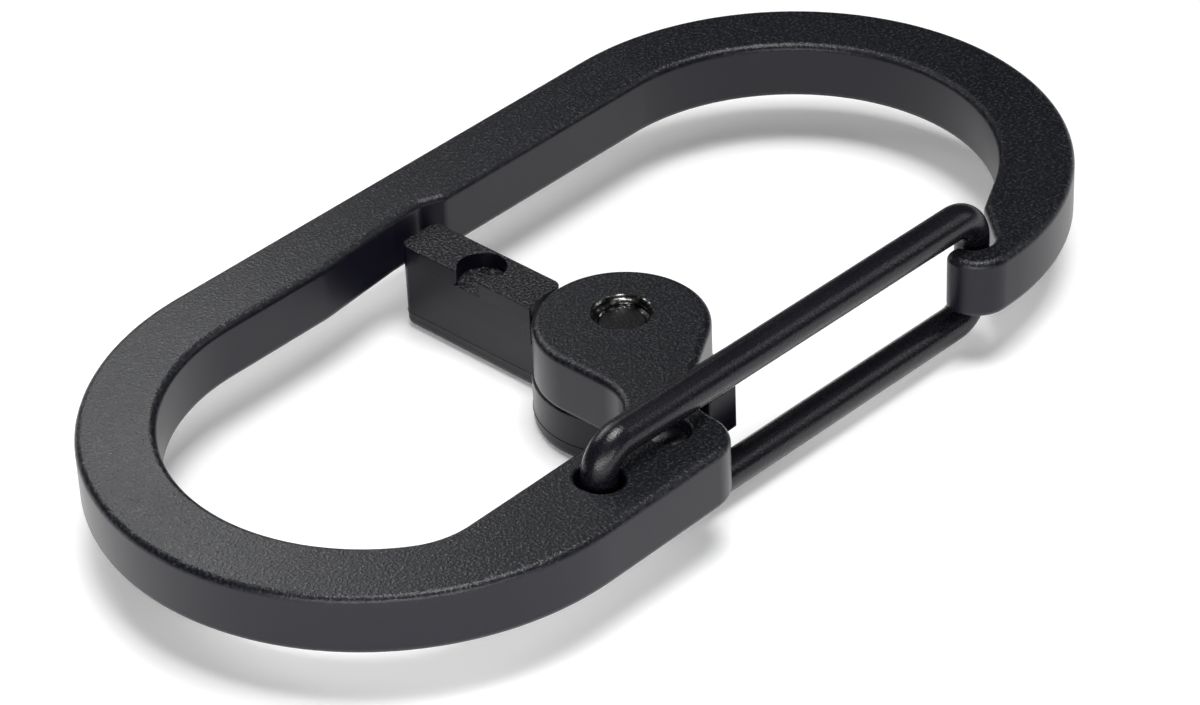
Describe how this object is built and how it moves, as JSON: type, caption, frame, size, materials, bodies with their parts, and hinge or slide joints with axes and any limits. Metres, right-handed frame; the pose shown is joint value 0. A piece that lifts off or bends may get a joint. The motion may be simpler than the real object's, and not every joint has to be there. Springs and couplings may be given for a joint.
{
  "type": "oval wire-gate carabiner",
  "caption": "Flat oval carabiner with a bent-wire gate and an inner swinging lever that hangs under a round eye and rests in a notch in the spine.",
  "frame": {"origin": "under the middle of the oval, level with the lever's underside", "axes": "+X along the oval towards the nose, +Y across it towards the spine, +Z out of the face whose eye shows the screw's end"},
  "size_m": [0.09, 0.045, 0.013],
  "materials": {
    "frame_coat": "matte fine-grained black powder coat",
    "wire_coat": "satin black coated wire",
    "moulding": "coarse-textured black moulding",
    "screw_steel": "dark machined steel",
    "bronze": "plain bearing bronze",
    "acetal": "natural white",
    "spring_steel": "drawn spring wire"
  },
  "bodies": {
    "frame": {"frame": "frame_coat", "pivot_screw": "screw_steel", "pivot_sleeve": "bronze", "upper_thrust_washer": "acetal", "lower_thrust_washer": "acetal", "return_spring": "spring_steel"},
    "gate": {"wire_gate": "wire_coat"},
    "lever": {"lever": "moulding"}
  },
  "joints": [
    {"name": "gate_hinge", "type": "hinge", "parent": "frame", "child": "gate", "pos_m": [-0.01665, -0.01766, 0.007], "axis": [0, 0, 1], "range_deg": [0, 16], "stiffness_Nm_per_rad": 0.05, "springref_deg": -11.46},
    {"name": "lever_hinge", "type": "hinge", "parent": "frame", "child": "lever", "pos_m": [-0.00234, -0.005, 0.002], "axis": [0, 0, 1], "range_deg": [0, 75], "stiffness_Nm_per_rad": 0.004, "springref_deg": -22.92, "deforming": ["return_spring"]}
  ]
}
